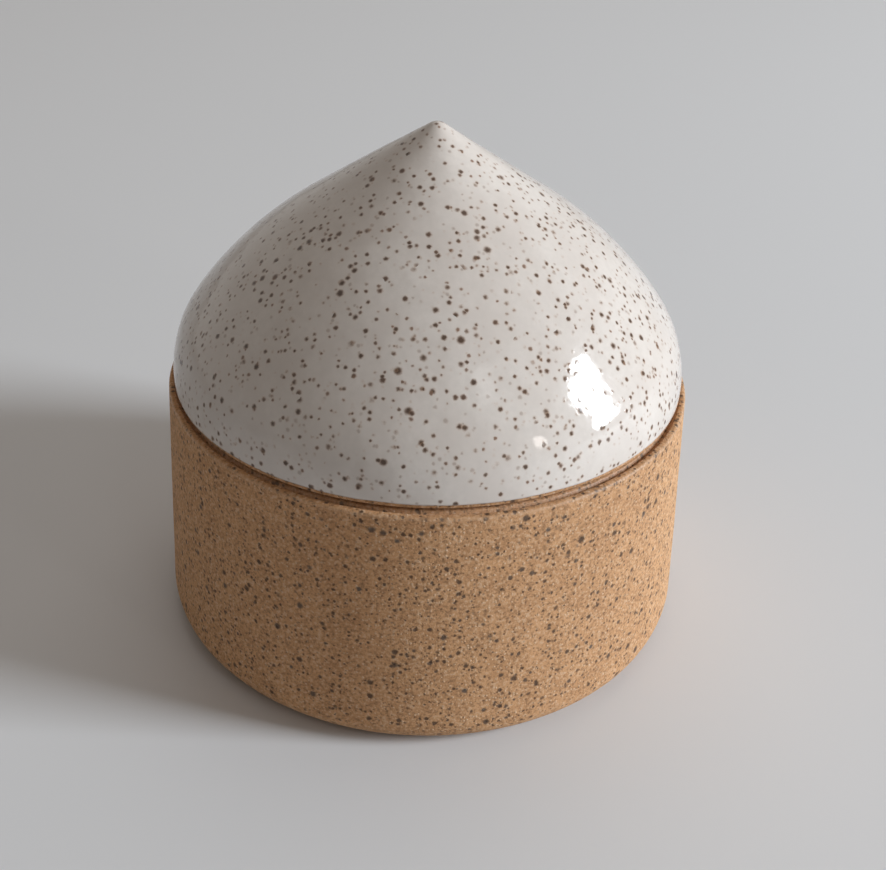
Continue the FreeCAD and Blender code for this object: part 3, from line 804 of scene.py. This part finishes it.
def clay_material(name, look, rim=None):
    """Bare fired stoneware: sandy, with iron specks of several sizes.

    A rim is the level of the pot's rim. At the rim's outer edge the clay is burnished to a lower
    roughness and lightened as a painted highlight, and the clay is made darker towards the table
    at the foot.
    """
    material, w, shader = new_material(name)
    place = w.object_place()
    sand = w.group(sandy_clay(), {"Place": place, "Grain": look.grain})
    colour = w.mix(w.ramp(sand["Mottle"], *CLAY_MOTTLE_NOISE), look.dark_body, look.body)
    for spread, tint in ((SAND_SPREAD, look.sand), (-SAND_SPREAD, look.pit)):
        share = w.ramp(sand["Fine"], MIDDLE_SAND, MIDDLE_SAND + spread, to=(0.0, SAND_COVER))
        colour = w.mix(share, colour, tint)
    colour = w.mix(w.math("MULTIPLY", sand["Grains"], GRAIN_COVER), colour, look.sand)
    colour = w.mix(w.math("MULTIPLY", sand["Pits"], PIT_COVER), colour, look.pit)
    colour, height = speckled(w, place, colour, sand["Height"], look, CLAY_SPECKS)
    shader.inputs["Roughness"].default_value = CLAY_ROUGHNESS
    if rim is not None:
        # Darker towards the table.
        foot = in_band(w, place, 0.0, DARKER_FOOT_BAND)
        colour = w.mix(w.math("MULTIPLY", foot, DARKER_FOOT_COVER), colour, look.foot_tone)
        # Painted highlight: the rim's outer edge is lightened with sand. Its lower roughness is
        # real burnish.
        burnish_and_highlight = in_band(w, place, rim, RIM_BURNISH_AND_PAINTED_HIGHLIGHT)
        colour = w.mix(w.math("MULTIPLY", burnish_and_highlight, PAINTED_RIM_HIGHLIGHT_COVER), colour, look.sand)
        w.give(shader.inputs["Roughness"],
               w.ramp(burnish_and_highlight, 0.0, 1.0, to=(CLAY_ROUGHNESS, WORN_ROUGHNESS), smooth=False))
    w.give(shader.inputs["Base Color"], colour)
    shader.inputs["Diffuse Roughness"].default_value = 0.6
    bump = w.node("ShaderNodeBump", {"Height": height, "Distance": 0.00012, "Strength": 0.9})
    w.give(shader.inputs["Normal"], bump.outputs[0])
    return material


def glaze_material(name, look, edge=None):
    """A gloss glaze that the clay's iron burns through, thin at the level of an edge."""
    material, w, shader = new_material(name)
    place = w.object_place()
    mottle = w.ramp(w.grain(place, GLAZE_MOTTLE), *GLAZE_MOTTLE_NOISE)
    colour = w.mix(mottle, look.body, look.thin)
    cloud = w.ramp(w.grain(place, GLAZE_CLOUDS), *GLAZE_CLOUD_NOISE)
    colour = w.mix(w.math("MULTIPLY", cloud, CLOUD_COVER), colour, look.cloud)
    height = w.math("MULTIPLY_ADD", w.grain(place, GLAZE_DIMPLES), DIMPLE_RISE,
                    w.grain(place, GLAZE_WAVES))
    colour, height = speckled(w, place, colour, height, look, GLAZE_SPECKS)
    if edge is not None:
        lip = in_band(w, place, edge, THIN_LIP)
        colour = w.mix(w.math("MULTIPLY", lip, THIN_COVER), colour, look.edge)
    w.give(shader.inputs["Base Color"], colour)
    shader.inputs["Roughness"].default_value = 0.1
    shader.inputs["IOR"].default_value = 1.5
    bump = w.node("ShaderNodeBump", {"Height": height, "Distance": 0.00016, "Strength": 0.7})
    w.give(shader.inputs["Normal"], bump.outputs[0])
    return material


# Stage

LAMP_REACH = 2.0              # metres from the salt box to every lamp
LAMP_AIM = Vector((0, 0, 0.04))
FLOOR_REACH = 3.0             # half the width of the floor, in metres

# A lamp: degrees round from the right and degrees above the floor, width and height in metres,
# share of the key power, and colour.
Lamp = namedtuple("Lamp", "name around above width height power tint")
LAMPS = (
    Lamp("Window", -9, 21, 0.5, 1.0, 1.0, (0.91, 0.955, 1.0)),
    Lamp("Far Window", -42, 13, 0.16, 0.36, 0.035, (1.0, 0.93, 0.88)),
    Lamp("High Window", -56, 50, 0.3, 0.4, 0.012, (1.0, 1.0, 1.0)),
    Lamp("Back Fill", 80, 58, 1.8, 1.8, 0.12, (1.0, 0.94, 0.88)),
)

# The photograph's viewpoint: where the camera is and which way its sides point.
CAMERA_PLACE = Vector((0, -0.2059045, 0.166004))
CAMERA_RIGHT = Vector((0.99946, 0.00457, 0.03246))
CAMERA_UP = Vector((-0.02979, 0.53972, 0.84132))
CAMERA_BACK = Vector((-0.01368, -0.84183, 0.53956))


def area_lamp(lamp, key):
    """A soft rectangular lamp that faces the salt box."""
    light = bpy.data.lights.new(lamp.name, "AREA")
    light.shape = "RECTANGLE"
    light.size = lamp.width
    light.size_y = lamp.height
    light.energy = lamp.power * key
    light.color = lamp.tint
    around, above = math.radians(lamp.around), math.radians(lamp.above)
    place = LAMP_REACH * Vector((math.cos(above) * math.cos(around),
                                 math.cos(above) * math.sin(around), math.sin(above)))
    holder = bpy.data.objects.new(lamp.name, light)
    holder.location = place
    holder.rotation_euler = (LAMP_AIM - place).to_track_quat("-Z", "Y").to_euler()
    bpy.context.scene.collection.objects.link(holder)


def pale_floor(look):
    """A wide plain floor that can't be seen from below."""
    mesh = bpy.data.meshes.new("floor")
    bm = bmesh.new()
    bmesh.ops.create_grid(bm, x_segments=2, y_segments=2, size=FLOOR_REACH)
    bm.to_mesh(mesh)
    bm.free()
    floor = bpy.data.objects.new("floor", mesh)
    bpy.context.scene.collection.objects.link(floor)
    material, w, shader = new_material("Pale Floor")
    shader.inputs["Base Color"].default_value = (*look.floor, 1)
    shader.inputs["Roughness"].default_value = 0.6
    clear = w.node("ShaderNodeBsdfTransparent")
    below = w.node("ShaderNodeNewGeometry").outputs["Backfacing"]
    both = w.node("ShaderNodeMixShader", {0: below, 1: shader.outputs[0], 2: clear.outputs[0]})
    w.give(w.tree.nodes["Material Output"].inputs["Surface"], both.outputs[0])
    floor.data.materials.append(material)


def soft_world(look):
    """Even light from everywhere, which looks pale where it is seen."""
    world = bpy.data.worlds.new("Soft World")
    world.use_nodes = True
    bpy.context.scene.world = world
    w = Wiring(world.node_tree)
    path = w.node("ShaderNodeLightPath").outputs
    seen = w.math("MAXIMUM", path["Is Camera Ray"], path["Is Glossy Ray"])
    seen = w.math("MAXIMUM", seen, path["Is Transmission Ray"])
    ahead = w.node("ShaderNodeTexCoord").outputs["Generated"]
    rise = w.node("ShaderNodeSeparateXYZ", {"Vector": ahead}).outputs["Z"]
    sky = w.mix(w.ramp(rise, 0.0, 1.0), look.low_sky, look.high_sky)
    w.give(w.tree.nodes["Background"].inputs["Color"], w.mix(seen, sky, look.backdrop))


def set_camera(look):
    """The camera at the photograph's viewing angle."""
    lens = bpy.data.cameras.new("Camera")
    lens.lens = look.lens
    lens.sensor_width = 36
    lens.clip_start = 0.01
    camera = bpy.data.objects.new("Camera", lens)
    turn = Matrix((CAMERA_RIGHT, CAMERA_UP, CAMERA_BACK)).transposed().to_4x4()
    camera.matrix_world = Matrix.Translation(CAMERA_PLACE) @ turn
    bpy.context.scene.collection.objects.link(camera)
    bpy.context.scene.camera = camera


# Operators


def add_piece(name, outlines, shape, material, body, node):
    """Turn a piece, give it its material and put it in its place in the frame."""
    piece = turned_piece(name, outlines, shape)
    piece.data.materials.append(material)
    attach(piece, body)
    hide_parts(node)


class SALTBOX_OT_pot(Operator):
    """Throw the raw clay pot"""

    bl_idname = "saltbox.pot"
    bl_label = "Pot"

    def execute(self, context):
        given = settings()
        add_piece("pot", pot_outline(given.sizes), shape_pot,
                  clay_material("Raw Clay", given.clay, rim=SEAT),
                  body="pot", node="pot_body")
        return {"FINISHED"}


class SALTBOX_OT_pot_liner(Operator):
    """Glaze the inside of the pot"""

    bl_idname = "saltbox.pot_liner"
    bl_label = "Pot liner"

    def execute(self, context):
        given = settings()
        add_piece("pot_glaze", pot_liner_outline(given.sizes), shape_pot_liner,
                  glaze_material("Liner Glaze", given.glaze),
                  body="pot", node="pot_liner")
        return {"FINISHED"}


class SALTBOX_OT_lid(Operator):
    """Throw the hollow clay lid"""

    bl_idname = "saltbox.lid"
    bl_label = "Lid"

    def execute(self, context):
        given = settings()
        add_piece("lid", lid_shell_outline(given.sizes), shape_lid,
                  clay_material("Lid Clay", given.clay),
                  body="lid", node="lid_shell")
        return {"FINISHED"}


class SALTBOX_OT_lid_glaze(Operator):
    """Glaze the lid's dome"""

    bl_idname = "saltbox.lid_glaze"
    bl_label = "Lid glaze"

    def execute(self, context):
        given = settings()
        add_piece("dome_glaze", lid_glaze_outline(given.sizes), shape_lid_glaze,
                  glaze_material("Lid Glaze", given.glaze, edge=GLAZE_EDGE),
                  body="lid", node="lid_glaze")
        return {"FINISHED"}


class SALTBOX_OT_lid_liner(Operator):
    """Glaze the inside of the lid"""

    bl_idname = "saltbox.lid_liner"
    bl_label = "Lid liner"

    def execute(self, context):
        given = settings()
        add_piece("dome_liner", lid_liner_outline(given.sizes), shape_lid_liner,
                  glaze_material("Dome Liner Glaze", given.glaze),
                  body="lid", node="lid_liner")
        return {"FINISHED"}


class SALTBOX_OT_stage(Operator):
    """Set up the floor, the lamps and the camera"""

    bl_idname = "saltbox.stage"
    bl_label = "Stage"

    def execute(self, context):
        look = settings().stage
        context.scene.view_settings.view_transform = "Standard"
        pale_floor(look)
        soft_world(look)
        for lamp in LAMPS:
            area_lamp(lamp, look.key)
        set_camera(look)
        return {"FINISHED"}


class SALTBOX_PT_panel(Panel):
    """The salt box's pieces, in the order they are made"""

    bl_label = "Salt Box"
    bl_idname = "SALTBOX_PT_panel"
    bl_space_type = "VIEW_3D"
    bl_region_type = "UI"
    bl_category = "Salt Box"

    def draw(self, context):
        for operator in OPERATORS:
            self.layout.operator(operator.bl_idname)
        for name in SaltBox.__annotations__:
            group = getattr(settings(), name)
            column = self.layout.box().column()
            column.label(text=name.title())
            for value in type(group).__annotations__:
                column.prop(group, value)


OPERATORS = (SALTBOX_OT_pot, SALTBOX_OT_pot_liner, SALTBOX_OT_lid, SALTBOX_OT_lid_glaze,
             SALTBOX_OT_lid_liner, SALTBOX_OT_stage)
CLASSES = (SaltBoxSizes, HandMarks, ClayLook, GlazeLook, StageLook, SaltBox, *OPERATORS,
           SALTBOX_PT_panel)


def register():
    for each in CLASSES:
        bpy.utils.register_class(each)
    bpy.types.Scene.salt_box = PointerProperty(type=SaltBox)


def unregister():
    del bpy.types.Scene.salt_box
    for each in reversed(CLASSES):
        bpy.utils.unregister_class(each)


def main():
    register()
    bpy.ops.saltbox.pot()
    bpy.ops.saltbox.pot_liner()
    bpy.ops.saltbox.lid()
    bpy.ops.saltbox.lid_glaze()
    bpy.ops.saltbox.lid_liner()
    bpy.ops.saltbox.stage()


if __name__ == "__main__":
    main()
